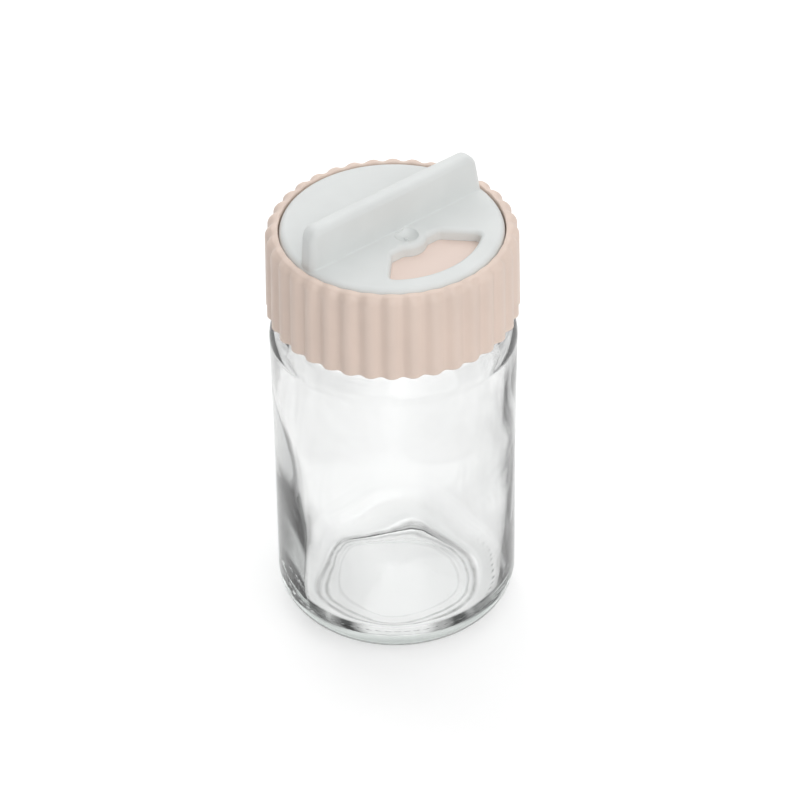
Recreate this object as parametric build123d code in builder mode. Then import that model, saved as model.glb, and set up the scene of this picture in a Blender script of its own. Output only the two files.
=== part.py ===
"""Salt cellar: a glass jar, a fluted screw cap with its sealing ring, and a turning dial.

Millimetres, +Z up. The origin is the centre of the face that the jar stands on.
The cap is screwed home and the dial is closed: its window lies over the blank part of the
cap's floor. Turning the dial one way uncovers the sprinkle holes, the other way the pouring hole.
"""

from build123d import *
import math
import os

os.makedirs("parts", exist_ok=True)

# Jar: heights are measured from the face that it stands on
jar_height = 107.6
neck_radius = 27.6
neck_height = 19.9
neck_wall = 2.7
lip_rounding = 0.9
shoulder_step = 3.2
shoulder_height = 4.2
shoulder_rounding = 5.0
shoulder_root_rounding = 1.6
body_wall = 2.4
inner_shoulder_rise = 1.0
inner_shoulder_height = 7.0
inner_shoulder_rounding = 4.0
heel_rounding = 9.2
foot_ring_width = 2.6
push_up_height = 2.5
floor_thickness = 3.1
inner_floor_drop = 1.2
inner_corner_rounding = 7.5

# Thread: one right-hand ridge on the neck, and a like one in the cap that hooks under it
thread_pitch = 4.233
thread_turns = 1.1
thread_depth = 1.15
thread_root_width = 2.4
thread_tip_width = 1.0
thread_sink = 0.3
thread_below_lip = 2.2
thread_radial_gap = 0.35
thread_flank_gap = 0.12
cap_thread_lag_turns = 0.15

# Sealing ring between the lip of the jar and the floor of the cap
ring_thickness = 1.2
ring_side_gap = 0.5
ring_overlap_inside = 0.4
ring_edge_rounding = 0.2

# Cap
cap_height = 23.2
skirt_wall = 0.9
flute_count = 36
flute_first_azimuth = 4.2
flute_depth = 1.0
flute_radius = 1.9
rim_width = 3.3
rim_rounding = 2.5
cap_edge_rounding = 0.4
recess_edge_rounding = 0.3
cap_floor_thickness = 2.0
recess_depth = 3.1

# Openings in the floor of the cap
opening_spacing_angle = 120.0
sprinkle_hole_radius = 1.1
sprinkle_first_row_radius = 10.5
sprinkle_pitch = 4.0
sprinkle_rows = 3
sprinkle_first_row_count = 3
pour_inner_radius = 11.0
pour_outer_radius = 21.0
pour_half_angle = 30.0
pour_corner_rounding = 1.8

# Dial plate
dial_side_gap = 0.25
dial_floor_gap = 0.05
dial_edge_rounding = 1.5
dial_lower_chamfer = 0.4

# Grip fin: its direction is an azimuth, counted from +X towards +Y
fin_azimuth = 39.7
fin_thickness = 5.2
fin_height = 10.6
fin_end_gap = 0.55
fin_top_shortening = 1.5
fin_corner_rounding = 3.2
fin_edge_rounding = 1.1
fin_root_depth = 1.6

# Dish with its moulding nub, beside the fin
dish_offset = 5.4
dish_radius = 3.05
dish_depth = 0.8
nub_radius = 0.4
nub_height = 0.35
nub_root_depth = 0.8

# Window in the dial
window_outer_radius = 22.1
window_inner_offset = 8.8
window_inner_half_width = 7.4
window_side_angle = 46.0
window_land_round_dish = 1.65
window_corner_rounding = 1.6
window_edge_rounding = 0.4

# Split snap stud under the dial
stud_radius = 2.6
stud_running_gap = 0.08
stud_barb_lip = 0.6
stud_barb_height = 2.2
stud_tip_radius = 1.9
stud_slot_width = 1.0
stud_root_depth = 1.5

# Places that follow from the sizes above
jar_radius = neck_radius + shoulder_step
inner_radius = jar_radius - body_wall
mouth_radius = neck_radius - neck_wall
shoulder_top_z = jar_height - neck_height
shoulder_base_z = shoulder_top_z - shoulder_height
inner_shoulder_top_z = shoulder_top_z + inner_shoulder_rise
foot_outer_radius = jar_radius - heel_rounding
foot_inner_radius = foot_outer_radius - foot_ring_width
inner_floor_z = push_up_height + floor_thickness

thread_tip_radius = neck_radius + thread_depth
jar_thread_z = (
    jar_height - thread_below_lip - thread_root_width / 2 - thread_pitch * thread_turns
)
flank_overlap = (thread_root_width - thread_tip_width) / 2 * thread_radial_gap / thread_depth
thread_drop = (thread_root_width + thread_tip_width) / 2 - flank_overlap + thread_flank_gap
cap_thread_z = jar_thread_z - thread_drop - thread_pitch * cap_thread_lag_turns

skirt_bore_radius = thread_tip_radius + thread_radial_gap
cap_radius = skirt_bore_radius + skirt_wall + flute_depth
recess_radius = cap_radius - rim_width
floor_bottom_z = jar_height + ring_thickness
floor_top_z = floor_bottom_z + cap_floor_thickness
rim_top_z = floor_top_z + recess_depth
cap_bottom_z = rim_top_z - cap_height
closed_azimuth = fin_azimuth - 90.0
sprinkle_azimuth = closed_azimuth + opening_spacing_angle
pour_azimuth = closed_azimuth - opening_spacing_angle

dial_radius = recess_radius - dial_side_gap
dial_bottom_z = floor_top_z + dial_floor_gap
dial_thickness = rim_top_z - dial_bottom_z
stud_hole_radius = stud_radius + stud_running_gap


def thread_ridge(root_radius, tip_radius):
    """One helical ridge about Z, starting on +X at height 0, wide at its root."""
    outward = math.copysign(1.0, tip_radius - root_radius)
    depth = abs(tip_radius - root_radius)
    profile = [
        (-thread_sink * outward, -thread_root_width / 2),
        (0, -thread_root_width / 2),
        (depth * outward, -thread_tip_width / 2),
        (depth * outward, thread_tip_width / 2),
        (0, thread_root_width / 2),
        (-thread_sink * outward, thread_root_width / 2),
    ]
    with BuildPart() as ridge:
        with BuildLine() as route:
            Helix(thread_pitch, thread_pitch * thread_turns, root_radius)
        start = Plane(origin=route.line @ 0, x_dir=(1, 0, 0), z_dir=route.line % 0)
        with BuildSketch(start):
            Polygon(*profile, align=None)
        sweep(path=route.line, is_frenet=True)
    return ridge.part


jar_thread = thread_ridge(neck_radius, thread_tip_radius)
cap_thread = thread_ridge(skirt_bore_radius, skirt_bore_radius - thread_depth)

# Jar: a turned profile from the foot ring up the outside, over the lip and down the inside
with BuildPart() as jar:
    with BuildSketch(Plane.XZ):
        with BuildLine():
            FilletPolyline(
                (foot_inner_radius, 0),
                (jar_radius, 0),
                (jar_radius, shoulder_base_z),
                (neck_radius, shoulder_top_z),
                (neck_radius, jar_height),
                (mouth_radius, jar_height),
                (mouth_radius, inner_shoulder_top_z),
                (inner_radius, inner_shoulder_top_z - inner_shoulder_height),
                (inner_radius, inner_floor_z - inner_floor_drop),
                (0, inner_floor_z),
                radius=[
                    heel_rounding,
                    shoulder_rounding,
                    shoulder_root_rounding,
                    lip_rounding,
                    lip_rounding,
                    inner_shoulder_rounding,
                    inner_shoulder_rounding,
                    inner_corner_rounding,
                ],
            )
            Line((0, inner_floor_z), (0, push_up_height))
            push_up_radius = (foot_inner_radius**2 + push_up_height**2) / (2 * push_up_height)
            half_way = foot_inner_radius / 2
            half_way_z = math.sqrt(push_up_radius**2 - half_way**2) - push_up_radius
            ThreePointArc(
                (0, push_up_height),
                (half_way, push_up_height + half_way_z),
                (foot_inner_radius, 0),
            )
        make_face()
    revolve(axis=Axis.Z)
    with Locations((0, 0, jar_thread_z)):
        add(jar_thread)
jar.part.label = "jar"
export_step(jar.part, "parts/jar.step")

# Sealing ring, flat between the lip and the floor of the cap
with BuildPart() as sealing_ring:
    with BuildSketch(Plane.XY.offset(jar_height)):
        Circle(skirt_bore_radius - ring_side_gap)
        Circle(mouth_radius - ring_overlap_inside, mode=Mode.SUBTRACT)
    extrude(amount=ring_thickness)
    fillet(sealing_ring.edges().filter_by(GeomType.CIRCLE), ring_edge_rounding)
sealing_ring.part.label = "sealing_ring"
export_step(sealing_ring.part, "parts/sealing_ring.step")

# One flute: a round cutter that runs up the skirt and over the rounded rim
flute_offset = flute_radius - flute_depth
with BuildPart() as flute_cutter:
    with BuildLine(Plane.XZ) as flute_route:
        up_skirt = Line(
            (cap_radius + flute_offset, cap_bottom_z - flute_radius),
            (cap_radius + flute_offset, rim_top_z - rim_rounding),
        )
        over_rim = JernArc(
            start=up_skirt @ 1,
            tangent=up_skirt % 1,
            radius=rim_rounding + flute_offset,
            arc_size=90,
        )
        Line(
            (cap_radius - rim_rounding, rim_top_z + flute_offset),
            (recess_radius - flute_radius, rim_top_z + flute_offset),
        )
    with BuildSketch(Plane(origin=flute_route.line @ 0, z_dir=(0, 0, 1))):
        Circle(flute_radius)
    sweep(path=flute_route.line)

# Cap: a turned shell with a floor, then flutes, thread, holes
with BuildPart() as cap:
    with BuildSketch(Plane.XZ):
        with BuildLine():
            FilletPolyline(
                (stud_hole_radius, floor_bottom_z),
                (skirt_bore_radius, floor_bottom_z),
                (skirt_bore_radius, cap_bottom_z),
                (cap_radius, cap_bottom_z),
                (cap_radius, rim_top_z),
                (recess_radius, rim_top_z),
                (recess_radius, floor_top_z),
                (stud_hole_radius, floor_top_z),
                radius=[
                    cap_edge_rounding,
                    cap_edge_rounding,
                    cap_edge_rounding,
                    rim_rounding,
                    recess_edge_rounding,
                    recess_edge_rounding,
                ],
            )
            Line((stud_hole_radius, floor_top_z), (stud_hole_radius, floor_bottom_z))
        make_face()
    revolve(axis=Axis.Z)
    with PolarLocations(0, flute_count, start_angle=flute_first_azimuth):
        add(flute_cutter.part, mode=Mode.SUBTRACT)
    with Locations(Location((0, 0, cap_thread_z), (0, 0, -360 * cap_thread_lag_turns))):
        add(cap_thread)
    with BuildSketch(Plane.XY.offset(floor_bottom_z)):
        for row in range(sprinkle_rows):
            row_radius = sprinkle_first_row_radius + row * sprinkle_pitch
            row_count = sprinkle_first_row_count + row
            row_step = math.degrees(sprinkle_pitch / row_radius)
            for hole in range(row_count):
                turn = sprinkle_azimuth + (hole - (row_count - 1) / 2) * row_step
                with PolarLocations(row_radius, 1, start_angle=turn):
                    Circle(sprinkle_hole_radius)
    extrude(amount=cap_floor_thickness, mode=Mode.SUBTRACT)
    with BuildSketch(Plane.XY.offset(floor_bottom_z)) as pour_opening:
        with BuildLine():
            first = pour_azimuth - pour_half_angle
            outer = CenterArc((0, 0), pour_outer_radius, first, 2 * pour_half_angle)
            inner = CenterArc((0, 0), pour_inner_radius, first, 2 * pour_half_angle)
            Line(outer @ 0, inner @ 0)
            Line(outer @ 1, inner @ 1)
        make_face()
        fillet(pour_opening.vertices(), pour_corner_rounding)
    extrude(amount=cap_floor_thickness, mode=Mode.SUBTRACT)
cap.part.label = "cap"
export_step(cap.part, "parts/cap.step")

# Grip fin: drawn from the side, with sloping ends and rounded upper corners
along = Vector(math.cos(math.radians(fin_azimuth)), math.sin(math.radians(fin_azimuth)), 0)
across = Vector(along.Y, -along.X, 0)
fin_half_length = dial_radius - fin_end_gap
with BuildPart() as fin:
    fin_plane = Plane(origin=(0, 0, rim_top_z), x_dir=along, z_dir=across)
    with BuildSketch(fin_plane) as fin_side:
        Polygon(
            (-fin_half_length, -fin_root_depth),
            (fin_half_length, -fin_root_depth),
            (fin_half_length, 0),
            (fin_half_length - fin_top_shortening, fin_height),
            (fin_top_shortening - fin_half_length, fin_height),
            (-fin_half_length, 0),
            align=None,
        )
        fillet(fin_side.vertices().group_by(Axis.Y)[-1], fin_corner_rounding)
    extrude(amount=fin_thickness / 2, both=True)
    fin_sides = fin.faces().sort_by(lambda face: face.area)[-2:]
    fin_edges = fin_sides.edges()
    lowest_edges = fin_edges.group_by(Axis.Z)[0]
    fillet(fin_edges - lowest_edges, fin_edge_rounding)

# Snap stud: a shank that turns in the cap's centre hole, with a barb under the floor
with BuildPart() as stud:
    with BuildSketch(Plane.XZ):
        barb_top_z = floor_bottom_z - dial_floor_gap
        barb_bottom_z = barb_top_z - stud_barb_height
        with BuildLine():
            Polyline(
                (0, dial_bottom_z + stud_root_depth),
                (stud_radius, dial_bottom_z + stud_root_depth),
                (stud_radius, barb_top_z),
                (stud_radius + stud_barb_lip, barb_top_z),
                (stud_tip_radius, barb_bottom_z),
                (0, barb_bottom_z),
                close=True,
            )
        make_face()
    revolve(axis=Axis.Z)
    with BuildSketch(Plane.XY.offset(barb_bottom_z)):
        Rectangle(stud_slot_width, 2 * (stud_radius + stud_barb_lip + stud_slot_width))
    extrude(amount=dial_bottom_z - barb_bottom_z, mode=Mode.SUBTRACT)

# Dial: plate, window and dish, then the fin on top and the stud below
with BuildPart() as dial:
    dial_plane = Plane(origin=(0, 0, dial_bottom_z), x_dir=along, z_dir=(0, 0, 1))
    with BuildSketch(dial_plane):
        Circle(dial_radius)
    extrude(amount=dial_thickness)
    fillet(dial.edges().group_by(Axis.Z)[-1], dial_edge_rounding)
    chamfer(dial.edges().group_by(Axis.Z)[0], dial_lower_chamfer)
    side_run = window_outer_radius
    side_x = side_run * math.cos(math.radians(window_side_angle))
    side_y = side_run * math.sin(math.radians(window_side_angle))
    with BuildSketch(dial_plane) as window:
        Circle(window_outer_radius)
        Polygon(
            (-window_inner_half_width, -window_inner_offset),
            (window_inner_half_width, -window_inner_offset),
            (window_inner_half_width + side_x, -window_inner_offset - side_y),
            (-window_inner_half_width - side_x, -window_inner_offset - side_y),
            align=None,
            mode=Mode.INTERSECT,
        )
        with Locations((0, -dish_offset)):
            Circle(dish_radius + window_land_round_dish, mode=Mode.SUBTRACT)
        fillet(window.vertices(), window_corner_rounding)
    before_window = dial.edges()
    extrude(amount=dial_thickness, mode=Mode.SUBTRACT)
    window_edges = (dial.edges() - before_window).group_by(Axis.Z)[-1]
    fillet(window_edges, window_edge_rounding)
    dish_sphere_radius = (dish_radius**2 + dish_depth**2) / (2 * dish_depth)
    dish_centre = across * dish_offset
    with Locations((dish_centre.X, dish_centre.Y, rim_top_z + dish_sphere_radius - dish_depth)):
        Sphere(dish_sphere_radius, mode=Mode.SUBTRACT)
    nub_foot_z = rim_top_z - dish_depth - nub_root_depth
    nub_foot = Plane(origin=(dish_centre.X, dish_centre.Y, nub_foot_z))
    with BuildSketch(nub_foot):
        Circle(nub_radius)
    extrude(amount=nub_root_depth + nub_height)
    add(fin.part)
    add(stud.part)
dial.part.label = "dial"
export_step(dial.part, "parts/dial.step")
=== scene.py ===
"""Dresses the packed salt cellar: the glass jar, the fluted cap, the turning dial and the stage.

Everything is in metres, in the frame of the packed model. The finished pieces stand for the
packed nodes of the same name, and take their outer sizes from those nodes.
"""

from math import asin, atan2, ceil, copysign, cos, pi, radians, remainder, sin, sqrt, tan

import bmesh
import bpy
import numpy as np
from bpy.props import FloatProperty, FloatVectorProperty, IntProperty, PointerProperty
from mathutils import Matrix, Vector


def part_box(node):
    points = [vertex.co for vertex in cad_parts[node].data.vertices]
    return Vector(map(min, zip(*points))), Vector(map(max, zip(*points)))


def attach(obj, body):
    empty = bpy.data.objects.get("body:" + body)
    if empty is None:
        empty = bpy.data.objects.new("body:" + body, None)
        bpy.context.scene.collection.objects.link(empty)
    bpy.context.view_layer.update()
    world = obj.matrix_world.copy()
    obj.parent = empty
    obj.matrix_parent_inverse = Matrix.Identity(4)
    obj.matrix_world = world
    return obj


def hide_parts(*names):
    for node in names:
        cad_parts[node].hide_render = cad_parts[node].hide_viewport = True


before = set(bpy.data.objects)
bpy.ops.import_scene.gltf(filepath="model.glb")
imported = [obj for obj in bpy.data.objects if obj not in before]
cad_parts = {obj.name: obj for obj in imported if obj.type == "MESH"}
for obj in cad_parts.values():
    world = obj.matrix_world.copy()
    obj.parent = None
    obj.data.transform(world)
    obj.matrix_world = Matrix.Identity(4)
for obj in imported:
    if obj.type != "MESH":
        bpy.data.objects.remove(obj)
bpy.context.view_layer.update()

bl_info = {
    "name": "Salt cellar",
    "version": (1, 0, 0),
    "blender": (4, 5, 0),
    "location": "View3D > Sidebar > Salt cellar",
    "description": "Builds the glass jar, fluted cap and turning dial of a salt cellar",
    "category": "Add Mesh",
}

MM = 0.001
NEARLY = 1e-6  # Lengths, angles and shares that differ by less than this count as equal.
WHITE = (1, 1, 1, 1)
BLACK = (0, 0, 0, 1)
JAR_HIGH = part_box("jar")[1]
RING_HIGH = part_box("sealing_ring")[1]
CAP_LOW, CAP_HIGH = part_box("cap")
DIAL_LOW, DIAL_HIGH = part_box("dial")
# Radius, half width and strength of each painted shade line under the base of the jar, dark lines
# that stand in for refraction.
BASE_SHADE_LINES = ((20.5 * MM, 1.3 * MM, 0.95), (18.4 * MM, 0.7 * MM, 0.7), (15.8 * MM, 0.6 * MM, 0.25))
# The base and its painted shade lines bulge out at five corners, most at this direction from +X.
FIRST_CORNER = radians(122)
CORNERS = 5
# Direction from +X, half width, height and reach up and down of the thick spot in the wall.
SPOT_TURN, SPOT_HALF = radians(183), radians(38)
SPOT_HEIGHT, SPOT_REACH = 17 * MM, 25 * MM
LIP_ROUNDING = 0.9 * MM
# Strength, turns round the axis, turns a millimetre up and start of each wave inside the wall.
WALL_WAVES = ((0.32, 2, 0.055, 0.6), (0.26, 3, -0.095, 2.0),
              (0.22, 5, 0.130, 4.1), (0.20, 1, 0.190, 1.0))


def length(name, description, millimetres, least=0.0):
    """A size in metres that the sidebar shows as a distance, from its default in millimetres."""
    return FloatProperty(name=name, description=description, default=millimetres * MM, min=least,
                         precision=5, subtype="DISTANCE", unit="LENGTH")


def angle(name, description, degrees):
    """An angle that the sidebar shows in degrees."""
    return FloatProperty(name=name, description=description, default=radians(degrees),
                         subtype="ANGLE", unit="ROTATION")


def colour(name, description, default):
    """A scene-linear colour."""
    return FloatVectorProperty(name=name, description=description, default=default, size=3,
                               min=0.0, max=1.0, subtype="COLOR")


def number(name, description, default, most=1000.0):
    """A plain number."""
    return FloatProperty(name=name, description=description, default=default, min=0.0, max=most)


def count(name, description, default, least=1):
    """A number of things."""
    return IntProperty(name=name, description=description, default=default, min=least)


class JarSettings(bpy.types.PropertyGroup):
    """Sizes and finish of the glass jar."""

    neck_radius: length("Neck radius", "Outside of the neck, without its thread", 27.6)
    neck_wall: length("Neck wall", "Thickness of the glass at the neck", 2.7)
    neck_height: length("Neck height", "From the shoulder's top to the lip", 19.9)
    shoulder_height: length("Shoulder height", "Height of the sloping shoulder", 4.2)
    body_wall: length("Body wall", "Thickness of the glass round the body", 3.0)
    heel_rounding: length("Heel rounding", "Radius of the heel", 9.2)
    foot_ring_width: length("Foot ring width", "Width of the ring that the jar stands on", 1.3)
    push_up_height: length("Push-up height", "Rise of the base inside the foot ring", 1.3)
    floor_thickness: length("Floor thickness", "Thickness of the glass over the push-up", 4.3)
    waist: length("Waist", "How far the body draws in at half height", 0.2)
    ripple: length("Ripple", "Unevenness of the inside of the glass", 0.9)
    thick_spot: length("Thick spot", "How much thicker the wall is low down on one side", 2.2)
    push_up_step: length("Push-up step", "Height of each of the two steps under it", 0.16)
    push_up_slope: length("Push-up slope", "Width of each of those steps", 1.6)
    floor_wave: length("Floor wave", "Unevenness of the floor of the jar", 0.09)
    corner_bulge: length("Corner bulge", "How far the push-up's corners bulge out", 0.35)
    dot_count: count("Dots", "Dimples round the heel", 66, 3)
    dot_slope: angle("Dot slope", "Direction of the dimples below the horizontal", 50.0)
    dot_radius: length("Dot radius", "Radius of each dimple in the heel", 0.95)
    dot_depth: length("Dot depth", "Depth of each dimple in the heel", 0.28)
    tint: colour("Tint", "Colour that thick glass turns", (0.60, 0.63, 0.615))


class ThreadSettings(bpy.types.PropertyGroup):
    """The screw thread on the neck and in the cap."""

    pitch: length("Pitch", "Rise of one turn", 4.233)
    turns: number("Turns", "Turns of the ridge", 1.1)
    depth: length("Depth", "Height of the ridge off its wall", 1.15)
    root_width: length("Root width", "Width of the ridge where it meets its wall", 2.4)
    tip_width: length("Tip width", "Width of the ridge's flat tip", 1.0)
    below_lip: length("Below the lip", "From the lip down to the ridge's upper end", 2.2)
    radial_gap: length("Radial gap", "From the jar's ridge to the cap's wall", 0.35)
    flank_gap: length("Flank gap", "Between the two ridges, flank to flank", 0.12)
    cap_lag: number("Cap lag", "Turns by which the cap's ridge starts before the jar's", 0.15)


class CapSettings(bpy.types.PropertyGroup):
    """Sizes and finish of the fluted cap."""

    floor_thickness: length("Floor thickness", "Thickness of the cap's floor", 2.0)
    rim_width: length("Rim width", "Width of the rim round the dial", 3.3)
    rim_rounding: length("Rim rounding", "Radius of the rim's outer edge", 2.5)
    rim_drop: length("Rim drop", "How far the rim lies below the dial's top", 0.3)
    skirt_extra: length("Skirt extra", "How much lower the skirt reaches", 0.3)
    draft: length("Draft", "How much wider the skirt is at the bottom than at the top", 0.45)
    flute_count: count("Flutes", "Flutes round the cap", 36, 3)
    flute_depth: length("Flute depth", "From a crest to the bottom of a flute", 1.0)
    flute_end: number("Flute end", "Share of the depth left at the rim's inner edge", 0.2, 1.0)
    first_flute: angle("First flute", "Direction of the first flute from +X", 4.2)
    hole_radius: length("Sprinkle hole radius", "Radius of each sprinkle hole", 1.1)
    hole_pitch: length("Sprinkle hole pitch", "From one sprinkle hole to the next", 4.0)
    first_row: length("First row", "Distance of the first row of holes from the axis", 10.5)
    first_row_count: count("First row holes", "Holes in the first row", 3)
    rows: count("Rows", "Rows of sprinkle holes", 3)
    holes_turn: angle("Sprinkle turn", "From the closed window to the sprinkle holes", 120.0)
    pour_inner: length("Pouring hole inside", "Its inner edge, from the axis", 11.0)
    pour_outer: length("Pouring hole outside", "Its outer edge, from the axis", 21.0)
    pour_half: angle("Pouring hole half width", "Half of the angle that it spans", 30.0)
    pour_rounding: length("Pouring hole corners", "Radius of its corners", 1.8)
    stud_hole: length("Centre hole radius", "Hole that the dial's stud turns in", 2.68)
    base: colour("Colour", "Pale pink of the plastic", (0.78, 0.635, 0.55))
    # Paler pink painted on the recess floor under the dial: painted light, where that floor looks
    # more lit than the rest of the cap.
    floor_painted_light: colour("Floor colour", "Paler pink of the polished floor", (0.85, 0.70, 0.625))


class DialSettings(bpy.types.PropertyGroup):
    """Sizes and finish of the turning dial."""

    thickness: length("Plate thickness", "Thickness of the plate", 3.05)
    edge_rounding: length("Edge rounding", "Radius of the plate's upper edge", 1.8)
    fin_azimuth: angle("Fin direction", "Direction of the fin from +X", 39.7)
    fin_thickness: length("Fin thickness", "Across the fin", 5.2)
    fin_end_gap: length("Fin end gap", "From the fin's end to the plate's edge", 0.55)
    fin_lean_right: length("Fin right lean", "How far the right end leans in", 1.75)
    fin_lean_left: length("Fin left lean", "How far the left end leans in", 0.5)
    fin_draft: length("Fin draft", "How much each side narrows to the top", 0.35)
    fin_corner: length("Fin corners", "Radius of the fin's upper corners", 3.2)
    fin_edge: length("Fin edges", "Radius along the fin's edges", 1.7)
    fin_root: length("Fin root", "Radius of the fillet at the fin's foot", 0.35)
    dish_offset: length("Dish offset", "From the axis to the dish", 5.4)
    dish_radius: length("Dish radius", "Radius of the round dish", 3.0)
    dish_depth: length("Dish depth", "Depth of the round dish", 1.5)
    dish_edge: length("Dish edge", "Radius of the dish's edge", 0.3)
    nub_radius: length("Nub radius", "Radius of the moulding nub", 0.5)
    nub_height: length("Nub height", "Height of the moulding nub", 0.6)
    window_outer: length("Window outside", "Outer edge of the window, from the axis", 21.9)
    window_inner: length("Window inside", "Straight inner edge, from the axis", 8.8)
    window_half: length("Window half width", "Half width of the inner edge", 7.4)
    window_side: angle("Window side", "Slope of the window's sides", 46.0)
    window_land: length("Window land", "Width of the land round the dish", 1.95)
    window_corner: length("Window corners", "Radius of the window's corners", 1.6)
    window_edge: length("Window edge", "Radius of the window's upper edge", 1.2)
    stud_radius: length("Stud radius", "Radius of the snap stud", 2.6)
    barb_radius: length("Barb radius", "Radius of the stud's barb", 3.2)
    barb_height: length("Barb height", "Height of the stud's barb", 2.2)
    tip_radius: length("Tip radius", "Radius of the stud's tip", 1.9)
    slot_width: length("Slot width", "Slot that lets the stud's halves flex", 1.0)
    base: colour("Colour", "Pale grey-white of the plastic", (0.745, 0.765, 0.757))


class StageSettings(bpy.types.PropertyGroup):
    """Camera, floor and light."""

    camera_height: angle("Camera elevation", "Above the horizon", 37.88)
    camera_distance: length("Camera distance", "From the point it looks at", 872.0)
    camera_roll: angle("Camera roll", "Turn about the line of sight", -0.75)
    aim_across: length("Aim across", "Sideways place of the point it looks at", 1.40, -1.0)
    aim_height: length("Aim height", "Height of the point it looks at", 60.20)
    lens: number("Lens", "Focal length in mm", 156.03)
    floor_radius: length("Floor radius", "Radius of the pale floor", 3000.0)
    floor: colour("Floor colour", "Pale floor", (0.80, 0.80, 0.80))


def settings():
    """The settings of the pieces of this scene."""
    scene = bpy.context.scene
    return scene.cellar_jar, scene.cellar_thread, scene.cellar_cap, scene.cellar_dial


def rounded_outline(corners, radii, arc_step=radians(7.5)):
    """Points along straight lines whose inner corners are rounded by the given radii."""
    corners = [Vector(corner) for corner in corners]
    points = [corners[0]]
    for before, here, after, radius in zip(corners, corners[1:], corners[2:], radii):
        arriving = (here - before).normalized()
        leaving = (after - here).normalized()
        cross = arriving.x * leaving.y - arriving.y * leaving.x
        turn = atan2(cross, arriving.dot(leaving))
        if radius <= 0 or abs(turn) < NEARLY:
            points.append(here)
            continue
        start = here - arriving * radius * tan(abs(turn) / 2)
        side = copysign(1.0, turn)
        centre = start + Vector((-arriving.y, arriving.x)) * radius * side
        steps = max(2, round(abs(turn) / arc_step))
        for step in range(steps + 1):
            points.append(centre + Matrix.Rotation(turn * step / steps, 2) @ (start - centre))
    points.append(corners[-1])
    return points


def spaced(points, longest):
    """The same line with points added, so that no stretch is longer than longest."""
    result = [points[0]]
    for a, b in zip(points, points[1:]):
        parts = max(1, ceil((b - a).length / longest - NEARLY))
        result += [a.lerp(b, part / parts) for part in range(1, parts + 1)]
    return result


def turned(name, outline, columns, shape=None, ring=False):
    """A mesh turned about Z from (radius, height) points.

    shape(radius, height, angle) may move the points, as arrays. A ring closes on itself, and
    any other outline starts and ends on the axis.
    """
    body = np.array([tuple(point) for point in (outline if ring else outline[1:-1])])
    around = np.arange(columns) * 2 * pi / columns
    radius, height, turn = np.broadcast_arrays(body[:, :1], body[:, 1:], around)
    if shape is not None:
        radius, height = shape(radius, height, turn)
    points = np.stack([radius * np.cos(turn), radius * np.sin(turn), height], -1)
    vertices = points.reshape(-1, 3).tolist()
    index = np.arange(len(vertices)).reshape(-1, columns)
    here = index if ring else index[:-1]
    above = np.roll(index, -1, 0) if ring else index[1:]
    quads = np.stack([here, np.roll(here, -1, 1), np.roll(above, -1, 1), above], -1)
    faces = quads.reshape(-1, 4).tolist()
    if not ring:
        for pole, row, flip in ((outline[0], index[0], True), (outline[-1], index[-1], False)):
            tip = len(vertices)
            vertices.append((0.0, 0.0, pole[1]))
            pairs = zip(row.tolist(), np.roll(row, -1).tolist())
            faces += [(tip, b, a) if flip else (tip, a, b) for a, b in pairs]
    return new_object(name, vertices, faces)


def stacked(name, levels):
    """A closed solid through level outlines, each a list of as many (x, y, z) points."""
    size = len(levels[0])
    faces = []
    for base in range(0, (len(levels) - 1) * size, size):
        for i in range(size):
            j = (i + 1) % size
            faces.append((base + i, base + j, base + size + j, base + size + i))
    faces.append(tuple(reversed(range(size))))
    faces.append(tuple(range((len(levels) - 1) * size, len(levels) * size)))
    return new_object(name, [point for level in levels for point in level], faces)


def new_object(name, vertices, faces):
    """A closed mesh as an object whose faces point outwards."""
    mesh = bpy.data.meshes.new(name)
    mesh.from_pydata(vertices, [], faces)
    shell = bmesh.new()
    shell.from_mesh(mesh)
    bmesh.ops.recalc_face_normals(shell, faces=shell.faces)
    shell.to_mesh(mesh)
    shell.free()
    return linked(name, mesh)


def linked(name, data):
    """A new object in the scene for a mesh, a lamp or a camera."""
    made = bpy.data.objects.new(name, data)
    bpy.context.scene.collection.objects.link(made)
    return made


def made_plain(piece):
    """Turns a piece with its modifiers into a plain mesh."""
    graph = bpy.context.evaluated_depsgraph_get()
    graph.update()
    mesh = bpy.data.meshes.new_from_object(
        piece.evaluated_get(graph), preserve_all_data_layers=True, depsgraph=graph
    )
    piece.modifiers.clear()
    old = piece.data
    piece.data = mesh
    bpy.data.meshes.remove(old)
    mesh.name = piece.name
    return piece


def combined(piece, tool, operation):
    """Cuts a closed tool out of a piece or joins it on, and removes the tool."""
    modifier = piece.modifiers.new("combine", "BOOLEAN")
    modifier.operation = operation
    modifier.solver = "EXACT"
    modifier.object = tool
    made_plain(piece)
    old = tool.data
    bpy.data.objects.remove(tool)
    bpy.data.meshes.remove(old)


def smoothed(piece, sharp_angle):
    """Smooth shading, with the edges over sharp_angle kept sharp and flat faces kept flat."""
    piece.data.shade_smooth()
    piece.data.set_sharp_from_angle(angle=sharp_angle)
    modifier = piece.modifiers.new("flat faces stay flat", "WEIGHTED_NORMAL")
    modifier.keep_sharp = True
    modifier.weight = 60
    made_plain(piece)


def fed(node, inputs):
    """A node with its inputs set to values, or linked to sockets and numbers."""
    for key, value in inputs.items():
        source = value.socket if isinstance(value, Number) else value
        if isinstance(source, bpy.types.NodeSocket):
            node.id_data.links.new(source, node.inputs[key])
        else:
            node.inputs[key].default_value = source
    return node


def new_node(tree, kind, inputs, **properties):
    """A node with its properties set and its inputs fed."""
    node = tree.nodes.new(kind)
    for key, value in properties.items():
        setattr(node, key, value)
    return fed(node, inputs)


def maths(operation, swapped=False):
    """A method that puts a number, and any others, through a Math node."""
    def method(this, *others):
        inputs = dict(enumerate((*others, this) if swapped else (this, *others)))
        return Number(new_node(this.tree, "ShaderNodeMath", inputs, operation=operation))

    return method


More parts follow.
